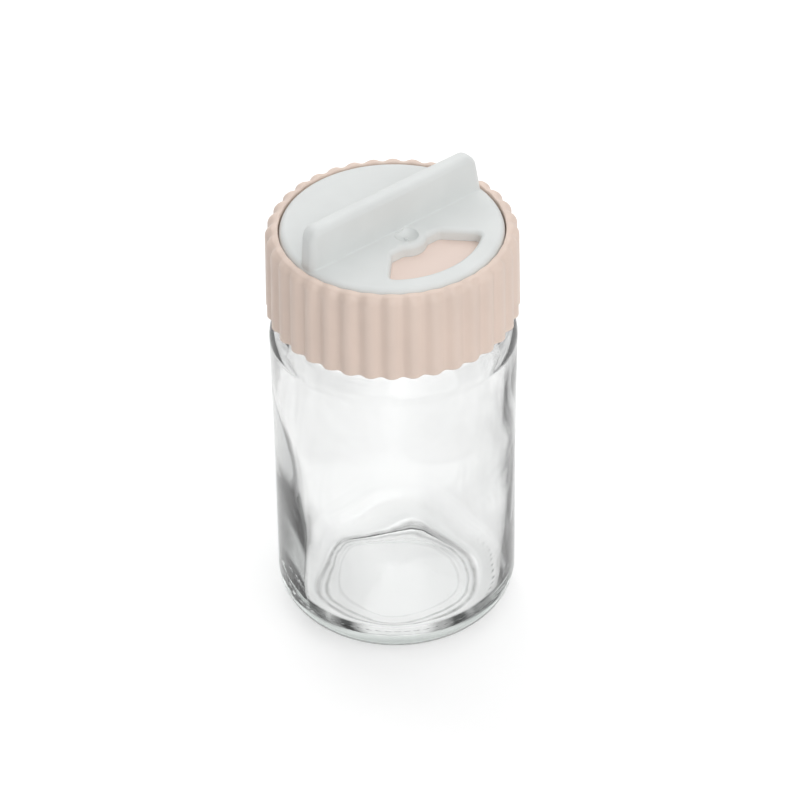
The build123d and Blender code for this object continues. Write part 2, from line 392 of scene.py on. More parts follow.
class Number:
    """A number in a node tree. Sums of it become Math nodes."""

    def __init__(self, source):
        self.socket = source.outputs[0] if isinstance(source, bpy.types.Node) else source
        self.tree = self.socket.id_data

    __add__ = __radd__ = maths("ADD")
    __sub__ = maths("SUBTRACT")
    __rsub__ = maths("SUBTRACT", swapped=True)
    __mul__ = __rmul__ = maths("MULTIPLY")
    __truediv__ = maths("DIVIDE")
    __rtruediv__ = maths("DIVIDE", swapped=True)
    __pow__ = maths("POWER")
    __abs__ = maths("ABSOLUTE")
    __lt__ = maths("LESS_THAN")
    __gt__ = maths("GREATER_THAN")
    least = maths("MINIMUM")
    most = maths("MAXIMUM")
    fraction = maths("FRACT")
    root = maths("SQRT")
    sine = maths("SINE")
    cosine = maths("COSINE")
    turn_from = maths("ARCTAN2")

    def ramp(self, at_low, at_high, low=0.0, high=1.0, kind="SMOOTHSTEP"):
        """A number that goes from low to high as this one goes from at_low to at_high."""
        ends = {"From Min": at_low, "From Max": at_high, "To Min": low, "To Max": high}
        node = new_node(self.tree, "ShaderNodeMapRange", {"Value": self, **ends},
                        interpolation_type=kind)
        return Number(node)

    def between(self, low, high):
        """A number from low to high as this one goes over the middle half of its range."""
        return self.ramp(0.25, 0.75, low, high, "LINEAR")


def split(vector):
    """The three numbers of a vector."""
    node = new_node(vector.id_data, "ShaderNodeSeparateXYZ", {0: vector})
    return [Number(socket) for socket in node.outputs]


def joined(x, y, z=0.0):
    """The vector of three numbers."""
    return new_node(x.tree, "ShaderNodeCombineXYZ", {0: x, 1: y, 2: z}).outputs[0]


def polar(place):
    """Distance from the axis, angle about it and height of a place."""
    x, y, z = split(place)
    return (x * x + y * y).root(), y.turn_from(x), z


def new_tree(name, counts, sizes):
    """A Geometry Nodes tree, and what its named inputs give."""
    tree = bpy.data.node_groups.new(name, "GeometryNodeTree")
    kinds = {"Geometry": "Geometry", **dict.fromkeys(counts, "Int"),
             **dict.fromkeys(sizes, "Float"), "Material": "Material"}
    for label, kind in kinds.items():
        tree.interface.new_socket(label, in_out="INPUT", socket_type="NodeSocket" + kind)
    tree.interface.new_socket("Geometry", in_out="OUTPUT", socket_type="NodeSocketGeometry")
    sockets = tree.nodes.new("NodeGroupInput").outputs
    return tree, {label: Number(sockets[label]) for label in kinds}


def close_tree(tree, given, geometry):
    """Ends a tree in Realize Instances and Set Material."""
    whole = new_node(tree, "GeometryNodeRealizeInstances", {0: geometry}).outputs[0]
    painted = new_node(tree, "GeometryNodeSetMaterial",
                       {"Geometry": whole, "Material": given["Material"]})
    new_node(tree, "NodeGroupOutput", {0: painted.outputs[0]})
    return tree


def move_points(tree, given, offset):
    """Ends a tree that moves each point of its geometry by the offset."""
    move = new_node(tree, "GeometryNodeSetPosition",
                    {"Geometry": given["Geometry"], "Offset": offset})
    return close_tree(tree, given, move.outputs[0])


def run_tree(piece, tree, values):
    """Runs a tree on a piece with its inputs set by their identifiers, and keeps the result."""
    modifier = piece.modifiers.new(tree.name, "NODES")
    modifier.node_group = tree
    for item in tree.interface.items_tree:
        if item.item_type == "SOCKET" and item.in_out == "INPUT" and item.name in values:
            modifier[item.identifier] = values[item.name]
    return made_plain(piece)


def flute_tree():
    """Pushes the marked points in along a wave round the axis, which makes the flutes."""
    tree, given = new_tree("cap_flutes", ("Count",), ("First flute", "Depth"))
    _, turn, _ = polar(tree.nodes.new("GeometryNodeInputPosition").outputs[0])
    wave = ((turn - given["First flute"]) * given["Count"]).cosine()
    narrower = 1.3
    depth = (wave * 0.5 + 0.5) ** narrower * given["Depth"]
    slide = new_node(tree, "GeometryNodeInputNamedAttribute", {"Name": "flute_slide"},
                     data_type="FLOAT_VECTOR")
    offset = new_node(tree, "ShaderNodeVectorMath",
                      {0: slide.outputs["Attribute"], "Scale": depth}, operation="SCALE")
    return move_points(tree, given, offset.outputs[0])


def dot_tree():
    """Dents a ring of round dimples into the lower part of the heel."""
    tree, given = new_tree("heel_dots", ("Count",),
                           ("Ring radius", "Ring height", "Slope", "Dot radius", "Depth"))
    ring, size, slope = given["Ring radius"], given["Dot radius"], given["Slope"]
    outward, downward = slope.cosine(), slope.sine()
    distance, turn, height = polar(tree.nodes.new("GeometryNodeInputPosition").outputs[0])
    pitch = 2 * pi / given["Count"]
    across = ((turn / pitch).fraction() - 0.5) * pitch * ring / size
    along = ((distance - ring) * downward + (height - given["Ring height"]) * outward) / size
    dome = (1.0 - (across * across + along * along)).most(0.0)
    highest = 4.0 * MM
    lift = dome * (height < highest) * given["Depth"]
    inward = lift * (outward * -1.0)
    offset = joined(inward * turn.cosine(), inward * turn.sine(), lift * downward)
    return move_points(tree, given, offset)


def hole_tree(rows):
    """Round punches in rows of one more each, on arcs about the axis."""
    tree, given = new_tree("sprinkle_punches", ("First count",),
                           ("First row", "Pitch", "Hole radius", "Azimuth", "Height", "Length"))
    punch = new_node(tree, "GeometryNodeMeshCylinder",
                     {"Vertices": 40, "Radius": given["Hole radius"], "Depth": given["Length"]})
    together = tree.nodes.new("GeometryNodeJoinGeometry")
    for row in range(rows):
        reach = given["Pitch"] * float(row) + given["First row"]
        holes = given["First count"] + float(row)
        index = Number(tree.nodes.new("GeometryNodeInputIndex"))
        along = index - (holes - 1.0) * 0.5
        turn = along * (given["Pitch"] / reach) + given["Azimuth"]
        place = joined(reach * turn.cosine(), reach * turn.sine(), given["Height"])
        points = new_node(tree, "GeometryNodePoints", {"Count": holes, "Position": place})
        copies = new_node(tree, "GeometryNodeInstanceOnPoints",
                          {"Points": points.outputs[0], "Instance": punch.outputs["Mesh"]})
        fed(together, {0: copies.outputs[0]})
    return close_tree(tree, given, together.outputs[0])


def new_material(name):
    """A material with one Principled shader, that shader and Object coordinates."""
    material = bpy.data.materials.new(name)
    material.use_nodes = True
    tree = material.node_tree
    place = tree.nodes.new("ShaderNodeTexCoord").outputs["Object"]
    return material, tree.nodes["Principled BSDF"], place


def noise(place, size, detail=2.0):
    """Noise whose features are about size metres across."""
    inputs = {"Vector": place, "Scale": 1.0 / size, "Detail": detail}
    return Number(new_node(place.id_data, "ShaderNodeTexNoise", inputs).outputs["Fac"])


def bump(height, strength, distance, under=None):
    """The normal of a bumped surface, which may be bumped already."""
    node = new_node(height.tree, "ShaderNodeBump",
                    {"Height": height, "Strength": strength, "Distance": distance})
    if under is not None:
        fed(node, {"Normal": under})
    return node.outputs["Normal"]


def colour_mix(share, first, second):
    """The first colour, or the second where share is 1."""
    inputs = {"Factor": share, "A": first, "B": second}
    return new_node(share.tree, "ShaderNodeMix", inputs, data_type="RGBA").outputs["Result"]


def shader_mix(share, first, second):
    """The first shader, or the second where share is 1."""
    return new_node(share.tree, "ShaderNodeMixShader", {0: share, 1: first, 2: second}).outputs[0]


def opaque(base, level=1.0):
    """A colour for a socket, made lighter or darker."""
    return (*[min(1.0, level * part) for part in base], 1)


def light_path(tree):
    """What Light Path knows of a ray, by name."""
    outputs = tree.nodes.new("ShaderNodeLightPath").outputs
    return {socket.name: Number(socket) for socket in outputs}


def moulded_plastic(name, base, roughness, grain):
    """Satin moulded plastic: faint clouding, a fine grain and uneven polish."""
    material, shader, place = new_material(name)
    waves = bump(noise(place, 2.5 * MM, 1.0), 0.10, 0.05 * MM)
    fed(shader, {
        "Base Color": colour_mix(noise(place, 11 * MM).between(0.0, 1.0),
                                 opaque(base, 0.965), opaque(base, 1.025)),
        "Roughness": noise(place, 5 * MM, 3.0).between(roughness - 0.05, roughness + 0.05),
        "Normal": bump(noise(place, 0.22 * MM), grain, 0.012 * MM, waves),
        "IOR": 1.49,
        "Specular IOR Level": 0.5,
    })
    return material


def painted_light_floor(material, reach, height, light):
    """Makes the level face at a height, out to a reach, paler and pinker than the rest, as painted
    light.
    """
    nodes = material.node_tree.nodes
    shader = nodes["Principled BSDF"]
    across, _, z = polar(nodes["Texture Coordinate"].outputs["Object"])
    on_floor = abs(z - height).ramp(0.3 * MM, 0.1 * MM) * (across < reach)
    plain = shader.inputs["Base Color"].links[0].from_socket
    fed(shader, {"Base Color": colour_mix(on_floor, plain, opaque(light))})


def painted_shade_lines(place):
    """The share of light that the wavy painted shade lines under the base take away, standing in
    for the dark lines that refraction draws there.
    """
    across, turn, height = polar(place)
    off = turn - FIRST_CORNER
    bulge = ((off * CORNERS).cosine() + off.cosine() * 0.5) * (0.45 * MM)
    wavy = across - bulge + (noise(place, 7 * MM) - 0.5) * (0.8 * MM)
    lines = [abs(wavy - radius).ramp(half_width, 0.0, 0.0, strength)
             for radius, half_width, strength in BASE_SHADE_LINES]
    darkest = lines[0].most(lines[1]).most(lines[2])
    return darkest * (height < 3.0 * MM) * noise(place, 4 * MM, 1.0).between(0.6, 1.0)


def clear_glass(tint):
    """Clear glass that darkens where it is thick, with ripples and painted shade lines under the
    base.

    Light that has gone round inside the glass more often than it is traced is shown by painted
    light instead: a painted white glow near the middle of the heel, painted glints low on the
    heel, and painted light and shade streaks elsewhere.
    """
    material, shader, place = new_material("clear_glass")
    ripple = bump(noise(place, 14 * MM, 1.0), 0.25, 0.25 * MM)
    fed(shader, {
        # Painted shade: dark lines under the base, painted into the base colour.
        "Base Color": colour_mix(painted_shade_lines(place), WHITE, BLACK),
        "Transmission Weight": 1.0,
        "IOR": 1.51,
        "Roughness": noise(place, 9 * MM).between(0.0, 0.03),
        "Normal": bump(noise(place, 5 * MM, 1.0), 0.2, 0.06 * MM, ripple),
    })
    tree = material.node_tree
    path = light_path(tree)
    let_through = new_node(tree, "ShaderNodeBsdfTransparent", {"Color": (0.93, 0.94, 0.94, 1)})
    lit = shader_mix(path["Is Shadow Ray"], shader.outputs[0], let_through.outputs[0])
    x, y, height = split(place)
    # Painted light and shade for rays past the traced bounces: a painted glow in the heel, painted
    # streaks high up and low down in front, and painted glints low on the heel.
    heel = (height < 9 * MM) * abs(x).ramp(10 * MM, 4 * MM, 0.0, 1.3)
    high_up = height.ramp(36 * MM, 43 * MM, 0.0, 0.65) * height.ramp(66 * MM, 58 * MM)
    low_down = height.ramp(20 * MM, 15 * MM) * height.ramp(7 * MM, 9 * MM)
    in_front = y.ramp(12 * MM, 3 * MM, 0.0, 0.55) * (x < 0.0)
    painted_glints = noise(place, 1.7 * MM, 0.0).ramp(0.58, 0.68, 0.0, 0.9) * (height < 3 * MM)
    painted_streaks = noise(place, 8 * MM, 1.0).between(0.0, 0.15) + high_up + low_down * in_front
    painted_glow = new_node(tree, "ShaderNodeEmission", {"Strength": heel + painted_streaks + painted_glints})
    traced_bounces = 2.5
    lost = path["Glossy Depth"] > traced_bounces
    thick = new_node(tree, "ShaderNodeVolumeAbsorption", {"Color": opaque(tint), "Density": 40.0})
    fed(tree.nodes["Material Output"], {
        "Surface": shader_mix(lost, lit, painted_glow.outputs[0]),
        "Volume": thick.outputs[0],
    })
    return material


def clear_silicone():
    """Milky translucent silicone with a dusting of fine specks."""
    material, shader, place = new_material("ring_silicone")
    fed(shader, {
        "Base Color": colour_mix(noise(place, 3 * MM).between(0.0, 1.0),
                                 (0.78, 0.78, 0.76, 1), (0.88, 0.88, 0.87, 1)),
        "Roughness": noise(place, 1 * MM).between(0.45, 0.6),
        "Normal": bump(noise(place, 0.3 * MM), 0.15, 0.02 * MM),
    })
    return material


def limited(share):
    """A share kept from 0 to 1."""
    return np.clip(share, 0, 1)


def eased(share):
    """A smooth step from 0 to 1."""
    return limited(share) ** 2 * (3 - 2 * limited(share))


def thread_on(thread, height, turn, start_height, start_angle):
    """How far a right-hand thread stands off its wall at each height and turn of the wall."""
    run_in = 0.04
    half_root, half_tip = thread.root_width / 2, thread.tip_width / 2
    ridge = np.zeros_like(height)
    for lap in range(int(thread.turns) + 2):
        turns = np.mod(turn - start_angle, 2 * pi) / (2 * pi) + lap
        ends = limited(np.minimum(turns, thread.turns - turns) / run_in)
        off_centre = np.abs(height - (start_height + thread.pitch * turns))
        slope = (half_root - off_centre) / (half_root - half_tip)
        ridge = np.maximum(ridge, thread.depth * limited(slope) * np.sqrt(ends))
    return ridge


def jar_thread_start(thread):
    """Height of the centre of the jar's ridge where it starts."""
    below = thread.below_lip + thread.root_width / 2 + thread.pitch * thread.turns
    return JAR_HIGH.z - below


def cap_thread_start(thread):
    """Height of the centre of the cap's ridge where it starts, hooked under the jar's."""
    slope = (thread.root_width - thread.tip_width) / 2 / thread.depth
    overlap = slope * thread.radial_gap
    drop = (thread.root_width + thread.tip_width) / 2 - overlap + thread.flank_gap
    return jar_thread_start(thread) - drop - thread.pitch * thread.cap_lag


def jar_outside(jar, radius, top, shoulder_top, foot_outer, foot_inner):
    """The outside from the middle of the base to the middle of the lip."""
    rows, crowding, step_pitch = 40, 1.25, 1.6
    push_up = []
    for row in range(rows + 1):
        reach = foot_inner * (1 - (1 - row / rows) ** crowding)
        steps = sum(eased((edge - reach) / jar.push_up_slope)
                    for edge in (foot_inner, foot_inner - step_pitch * jar.push_up_slope))
        dome = (jar.push_up_height - 2 * jar.push_up_step) * (1 - (reach / foot_inner) ** 2)
        push_up.append(Vector((reach, dome + jar.push_up_step * steps)))
    foot = spaced([push_up[-1], Vector((foot_outer, 0))], 0.26 * MM)[1:]
    wall_start = jar.heel_rounding + 3 * MM
    heel = rounded_outline([(foot_outer, 0), (radius, 0), (radius, wall_start)],
                           [jar.heel_rounding - NEARLY], radians(3))
    body = heel[:-1] + rounded_outline(
        [(radius, wall_start), (radius, shoulder_top - jar.shoulder_height),
         (jar.neck_radius, shoulder_top), (jar.neck_radius, top),
         (jar.neck_radius - jar.neck_wall / 2, top)],
        [5.0 * MM, 1.6 * MM, LIP_ROUNDING],
        radians(8),
    )
    under_thread = shoulder_top + 2 * MM
    low = [point for point in body if point.y < under_thread]
    high = [low[-1]] + [point for point in body if point.y >= under_thread]
    return push_up + foot + spaced(low[1:], 3 * MM) + spaced(high, 0.5 * MM)[1:]


def jar_inside(jar, inner, top, shoulder_top):
    """The inside from the middle of the lip to the middle of the floor."""
    mouth = jar.neck_radius - jar.neck_wall
    dome = 1.2 * MM
    floor_edge = jar.push_up_height + jar.floor_thickness - dome
    line = rounded_outline(
        [(jar.neck_radius - jar.neck_wall / 2, top), (mouth, top),
         (mouth, shoulder_top + 1 * MM), (inner, shoulder_top - 6 * MM),
         (inner, floor_edge), (0, floor_edge + dome)],
        [LIP_ROUNDING, 4.0 * MM, 4.0 * MM, 6.5 * MM],
        radians(8),
    )
    return spaced(line[1:], 4 * MM)


class CELLAR_OT_glass_jar(bpy.types.Operator):
    """Makes the glass jar with its thread, uneven walls and dimpled heel"""

    bl_idname = "cellar.glass_jar"
    bl_label = "Glass jar"

    columns = 440

    def execute(self, context):
        jar, thread, _, _ = settings()
        top, radius = JAR_HIGH.z, JAR_HIGH.x
        inner = radius - jar.body_wall
        shoulder_top = top - jar.neck_height
        foot_outer = radius - jar.heel_rounding
        foot_inner = foot_outer - jar.foot_ring_width
        outside = jar_outside(jar, radius, top, shoulder_top, foot_outer, foot_inner)
        outline = outside + jar_inside(jar, inner, top, shoulder_top)
        neck_start = jar_thread_start(thread)
        gentler, floor_reach, base_reach, ridge_margin = 0.65, 12 * MM, 2.5 * MM, 1 * MM

        def shape(radii, heights, turn):
            is_outside = np.arange(len(radii))[:, None] < len(outside) - 1
            share = limited(heights / shoulder_top)
            belly = np.sin(pi * share) ** 2
            drawn_in = jar.waist * belly * (radii > foot_outer)
            uneven = sum(strength * np.sin(waves * turn + climb * (heights / MM) + start)
                         for strength, waves, climb, start in WALL_WAVES)
            corners = np.cos(CORNERS * (turn - FIRST_CORNER)) + 0.5 * np.cos(turn - FIRST_CORNER)
            low_down = limited(1 - heights / floor_reach)
            out_by = limited(radii / foot_inner) ** 2
            wave = jar.floor_wave * (gentler * corners) * low_down * out_by * (radii < foot_inner)
            heights = heights + wave * ~is_outside
            inner_part = limited((radii / foot_inner - 0.4) / 0.4)
            outer_part = limited((foot_outer - radii) / jar.foot_ring_width)
            stray = jar.corner_bulge * corners * (heights < base_reach)
            stray = stray * inner_part * outer_part * is_outside
            wall = limited((radii - 0.75 * inner) / (0.2 * inner)) * ~is_outside
            aside = np.abs(np.mod(turn - SPOT_TURN + pi, 2 * pi) - pi)
            spot = limited(1 - (aside / SPOT_HALF) ** 2) ** 2
            spot = spot * limited(1 - ((heights - SPOT_HEIGHT) / SPOT_REACH) ** 2) ** 2
            inward = drawn_in + jar.ripple * uneven * belly * wall + jar.thick_spot * spot * wall
            ridge = thread_on(thread, heights, turn, neck_start, 0.0)
            on_neck = is_outside & (heights > shoulder_top + ridge_margin)
            on_neck = on_neck & (heights < top - ridge_margin)
            return radii - inward + stray + ridge * on_neck, heights

        piece = turned("jar_glass", outline, self.columns, shape)
        run_tree(piece, dot_tree(), {
            "Count": jar.dot_count,
            "Slope": jar.dot_slope,
            "Ring radius": foot_outer + jar.heel_rounding * cos(jar.dot_slope),
            "Ring height": jar.heel_rounding * (1 - sin(jar.dot_slope)),
            "Dot radius": jar.dot_radius,
            "Depth": jar.dot_depth,
            "Material": clear_glass(jar.tint),
        })
        piece.data.shade_smooth()
        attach(piece, "jar")
        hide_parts("jar")
        return {"FINISHED"}


class CELLAR_OT_sealing_ring(bpy.types.Operator):
    """Gives the packed sealing ring its milky silicone"""

    bl_idname = "cellar.sealing_ring"
    bl_label = "Sealing ring"

    def execute(self, context):
        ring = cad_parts["sealing_ring"]
        material = clear_silicone()
        for slot in ring.material_slots:
            slot.material = material
        return {"FINISHED"}


def straight(a, b, outward, steps=4):
    """Points along a straight stretch, as rows of x, y and the outward direction."""
    share = np.arange(steps + 1)[:, None] / steps
    return np.hstack([a + np.subtract(b, a) * share, np.tile(outward, (steps + 1, 1))])


def arc(centre, radius, first, last, outward, steps):
    """Points along an arc, as such rows, with outward +1 from the centre or -1 towards it."""
    turn = first + (last - first) * np.arange(steps + 1) / steps
    way = np.column_stack([np.cos(turn), np.sin(turn)])
    return np.hstack([centre + radius * way, outward * way])


def joined_outline(stretches, corner_steps=8):
    """One closed outline from stretches that meet at corners, which fan out."""
    outline = []
    for here, after in zip(stretches, stretches[1:] + stretches[:1]):
        start = atan2(here[-1, 3], here[-1, 2])
        sweep = remainder(atan2(after[0, 3], after[0, 2]) - start, 2 * pi)
        outline += [here, arc(here[-1, :2], 0, start, start + sweep, 1, corner_steps)[1:-1]]
    return np.vstack(outline)


def grown(outline, out_by, height, turn=0.0):
    """The points of an outline moved outwards, turned about the axis, at a height."""
    x, y = (outline[:, :2] + outline[:, 2:] * out_by).T
    c, s = cos(turn), sin(turn)
    return np.column_stack([x * c - y * s, x * s + y * c, np.full_like(x, height)]).tolist()


def prism(name, outline, levels, turn=0.0):
    """A closed solid through an outline at levels of (distance outwards, height)."""
    return stacked(name, [grown(outline, out_by, height, turn) for out_by, height in levels])


def fan_outline(inner, outer, half, rounding):
    """Outline of a ring sector about +X, drawn in by the rounding of its corners."""
    near, far = inner + rounding, outer - rounding
    near_half = half - asin(rounding / near)
    far_half = half - asin(rounding / far)
    inner_arc = arc((0, 0), near, -near_half, near_half, -1, 16)
    outer_arc = arc((0, 0), far, far_half, -far_half, 1, 24)
    up = straight(inner_arc[-1, :2], outer_arc[0, :2], (-sin(half), cos(half)))
    down = straight(outer_arc[-1, :2], inner_arc[0, :2], (-sin(half), -cos(half)))
    return joined_outline([inner_arc, up, outer_arc, down])


def mark_slides(piece, bore, recess, radius, floor, top, cap):
    """Stores how each point moves for a flute one metre deep, as flute_slide."""
    mesh = piece.data
    place = np.zeros(len(mesh.vertices) * 3)
    mesh.vertices.foreach_get("co", place)
    place = place.reshape(-1, 3)
    far = np.hypot(place[:, 0], place[:, 1])
    z = place[:, 2]
    shortest = 1e-9
    out = np.maximum(far - (radius - cap.rim_rounding), 0)
    up = np.maximum(z - (top - cap.rim_rounding), 0)
    size = np.maximum(np.hypot(out, up), shortest)
    strength = 1 - (1 - cap.flute_end) * limited((radius - far) / (radius - recess))
    skirt = limited((far - bore) / (radius - bore))
    inwards = np.where(z < top - cap.rim_rounding, skirt, out / size * strength)
    in_recess = (far <= recess + 0.2 * MM) & (z >= floor - NEARLY)
    inwards = np.where(in_recess | (far <= bore + NEARLY), 0.0, inwards)
    wall = cap.flute_end * limited((z - floor) / (top - floor))
    downwards = np.where(in_recess, wall, up / size * strength)
    way = place[:, :2] / np.maximum(far, shortest)[:, None]
    slide = np.column_stack([-way * inwards[:, None], -downwards])
    data = mesh.attributes.new("flute_slide", "FLOAT_VECTOR", "POINT").data
    data.foreach_set("vector", slide.astype(np.float32).ravel())


class CELLAR_OT_fluted_cap(bpy.types.Operator):
    """Makes the fluted cap with its thread, floor, sprinkle holes and pouring hole"""

    bl_idname = "cellar.fluted_cap"
    bl_label = "Fluted cap"

    columns = 576

    def execute(self, context):
        jar, thread, cap, dial = settings()
        radius, bottom, top = CAP_HIGH.x, CAP_LOW.z - cap.skirt_extra, CAP_HIGH.z - cap.rim_drop
        bore = jar.neck_radius + thread.depth + thread.radial_gap
        recess = radius - cap.rim_width
        under = RING_HIGH.z
        floor = under + cap.floor_thickness
        edge = 0.4 * MM
        outline = rounded_outline(
            [(cap.stud_hole, under), (bore, under), (bore, bottom), (radius, bottom),
             (radius, top), (recess, top), (recess, floor), (cap.stud_hole, floor)],
            [edge, edge, edge, cap.rim_rounding, edge, 0.3 * MM],
        )
        # The flat floor keeps only every twelfth point.
        flat_from, flat_to, kept = cap.stud_hole + 0.6 * MM, min(bore, recess) - 1.0 * MM, 12
        outline = [point for i, point in enumerate(spaced(outline, 0.55 * MM))
                   if i % kept == 0 or not flat_from < point.x < flat_to]
        start = cap_thread_start(thread)
        lag = -2 * pi * thread.cap_lag
        unmoved = 0.4

        def shape(radii, heights, turn):
            ridge = thread_on(thread, heights, turn, start, lag)
            on_bore = (np.abs(radii - bore) < NEARLY) & (heights < under - 1 * MM)
            low_by = (top - heights) / (top - bottom) - unmoved
            spread = cap.draft * low_by * (radii > bore + 0.5 * MM)
            return radii + spread - ridge * on_bore, heights

        piece = turned("cap_fluted", outline, self.columns, shape, ring=True)
        mark_slides(piece, bore, recess, radius, floor, top, cap)
        pink = moulded_plastic("pink_plastic", cap.base, 0.42, 0.25)
        # Painted light: the recess floor under the dial is painted paler and pinker.
        painted_light_floor(pink, recess - 0.1 * MM, floor, cap.floor_painted_light)
        run_tree(piece, flute_tree(), {"Count": cap.flute_count, "First flute": cap.first_flute,
                                       "Depth": cap.flute_depth, "Material": pink})
        closed = dial.fin_azimuth - pi / 2
        middle = (under + floor) / 2
        reach = cap.floor_thickness + 2 * MM
        seed = turned("punches", [(0, 0), (1 * MM, 0), (0, 1 * MM)], 3)
        punches = run_tree(seed, hole_tree(cap.rows), {
            "First row": cap.first_row, "First count": cap.first_row_count,
            "Pitch": cap.hole_pitch, "Hole radius": cap.hole_radius,
            "Azimuth": closed + cap.holes_turn, "Height": middle, "Length": reach,
            "Material": pink})
        combined(piece, punches, "DIFFERENCE")
        fan = fan_outline(cap.pour_inner, cap.pour_outer, cap.pour_half, cap.pour_rounding)
        ends = [(cap.pour_rounding, middle + share * reach) for share in (-0.5, 0.5)]
        pour = prism("pour_punch", fan, ends, closed - cap.holes_turn)
        combined(piece, pour, "DIFFERENCE")
        smoothed(piece, radians(50))
        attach(piece, "cap")
        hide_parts("cap")
        return {"FINISHED"}


def dial_plate(dial, top, columns):
    """The plate with the stud under it, turned in one."""
    radius, bottom, tip = DIAL_HIGH.x, top - dial.thickness, DIAL_LOW.z
    barb_top = tip + dial.barb_height
    chamfer = 0.4 * MM
    outline = rounded_outline(
        [(0, tip), (dial.tip_radius, tip), (dial.barb_radius, barb_top),
         (dial.stud_radius, barb_top), (dial.stud_radius, bottom),
         (radius - chamfer, bottom), (radius, bottom + chamfer), (radius, top), (0, top)],
        [0, 0, 0, 0, 0, 0, dial.edge_rounding],
    )
    return turned("dial_turning", outline, columns)


def dial_window(dial, top):
    """The punch for the window, which flares at the top to round the edge."""
    r = dial.window_corner
    land = dial.dish_radius + dial.window_land + r
    line = -dial.window_inner - r
    out_x, out_y = sin(dial.window_side), cos(dial.window_side)
    start_x, start_y = dial.window_half - out_x * r, -dial.window_inner - out_y * r
    corner_x = start_x + out_y * ((start_y - line) / out_x)
    land_x = sqrt(land ** 2 - (line + dial.dish_offset) ** 2)
    land_turn = atan2(line + dial.dish_offset, land_x)
    far = dial.window_outer - r
    back = start_y * out_x - start_x * out_y
    run = back + sqrt(back ** 2 - start_x ** 2 - start_y ** 2 + far ** 2)
    end_x, end_y = start_x + out_y * run, start_y - out_x * run
    end_turn = atan2(end_y, end_x)
    outline = joined_outline([
        straight((-corner_x, line), (-land_x, line), (0, 1)),
        arc((0, -dial.dish_offset), land, -pi - land_turn, land_turn, -1, 24),
        straight((land_x, line), (corner_x, line), (0, 1)),
        straight((corner_x, line), (end_x, end_y), (out_x, out_y)),
        arc((0, 0), far, end_turn, -pi - end_turn, 1, 48),
        straight((-end_x, end_y), (-corner_x, line), (-out_x, out_y)),
    ])
    edge = dial.window_edge
    levels = [(0.0, -2 * dial.thickness), (0.0, -edge)]
    for degrees in range(8, 81, 8):
        turn = radians(degrees)
        levels.append((edge * (1 - cos(turn)), edge * (sin(turn) - 1)))
    over = 0.05 * MM
    levels.append((levels[-1][0] + (over - levels[-1][1]) * tan(turn), over))
    levels = [(r + out_by, top + height) for out_by, height in levels]
    return prism("window_punch", outline, levels, dial.fin_azimuth)


def off_axis(piece, dial, height):
    """Moves a piece turned about the axis to the dish's place."""
    shift = Matrix.Translation((0, -dial.dish_offset, 0))
    shift = Matrix.Rotation(dial.fin_azimuth, 4, "Z") @ shift
    piece.data.transform(Matrix.Translation((0, 0, height)) @ shift)
    return piece


def dial_dish(dial, top):
    """The punch for the round dish, with its edge eased."""
    radius, depth, edge = dial.dish_radius, dial.dish_depth, dial.dish_edge
    sphere = (radius ** 2 + depth ** 2) / (2 * depth)
    steep = asin(radius / sphere)
    outline = []
    for step in range(13):
        turn = steep * step / 13
        outline.append((sphere * sin(turn), sphere - depth - sphere * cos(turn)))
    flatter, above = 0.4, 1 * MM
    for step in range(7):
        turn = steep * (1 - step / 7)
        outline.append((radius + edge * (sin(steep) - sin(turn)),
                        edge * (cos(turn) - cos(steep)) * flatter))
    outline += [(outline[-1][0] + 0.3 * MM, above), (0, above)]
    return off_axis(turned("dish_punch", outline, 72), dial, top)


def dial_nub(dial, top):
    """The moulding nub on the bottom of the dish."""
    radius, height = dial.nub_radius, dial.nub_height
    outline = rounded_outline(
        [(0, -1 * MM), (radius, -1 * MM), (radius, height), (0, height)],
        [0, 0.15 * MM],
        radians(20),
    )
    return off_axis(turned("nub", outline, 24), dial, top - dial.dish_depth)


def dial_fin(dial, top):
    """The grip fin, by levels that draw in to rounded corners and edges at the top."""
    half_length = DIAL_HIGH.x - dial.fin_end_gap
    height = DIAL_HIGH.z - top
    corner, edge, root = dial.fin_corner, dial.fin_edge, dial.fin_root
    heights = [-1.4 * MM, -0.05 * MM, 2 * MM, 4 * MM, 6 * MM]
    heights += [root * (1 - cos(radians(step))) for step in range(10, 91, 10)]
    for radius in (corner, edge):
        heights += [height - radius * (1 - cos(radians(step))) for step in range(0, 91, 6)]
    least_step = 0.004 * MM
    levels = []
    last = -1.0
    for h in sorted(heights):
        if h - last < least_step:
            continue
        last = h
        share = h / height
        pull = drawn_in(corner, corner - (height - h))
        inset = drawn_in(edge, edge - (height - h))
        flare = drawn_in(root, min(root - h, root))
        right = half_length - dial.fin_lean_right * share - pull
        left = half_length - dial.fin_lean_left * share - pull
        half_width = dial.fin_thickness / 2 - dial.fin_draft * share - inset
        levels.append(fin_level(right, left, half_width, edge - 0.95 * inset, flare, top + h,
                                dial.fin_azimuth))
    return stacked("fin", levels)


def drawn_in(radius, along):
    """How far an arc has drawn in at a distance along from where it starts."""
    return radius - sqrt(radius ** 2 - max(along, 0) ** 2)


def fin_level(right, left, half_width, corner, flare, height, turn):
    """One level of the fin: a rectangle with round corners, flared along its sides."""
    near, far, y = right - corner, corner - left, half_width - corner
    centres = ((near, y), (far, y), (far, -y), (near, -y))
    outline = np.vstack([arc(centre, corner, quarter * pi / 2, (quarter + 1) * pi / 2, 1, 8)
                         for quarter, centre in enumerate(centres)])
    outline[:, 1] += flare * outline[:, 3] ** 3
    return grown(outline, 0.0, height, turn)


def dial_slot(dial, top):
    """The punch for the slot across the stud."""
    x, y = dial.slot_width / 2, 2 * dial.barb_radius
    outline = np.array([(x, -y, 0, 0), (x, y, 0, 0), (-x, y, 0, 0), (-x, -y, 0, 0)])
    levels = [(0.0, DIAL_LOW.z - 1 * MM), (0.0, top - dial.thickness)]
    return prism("slot_punch", outline, levels)


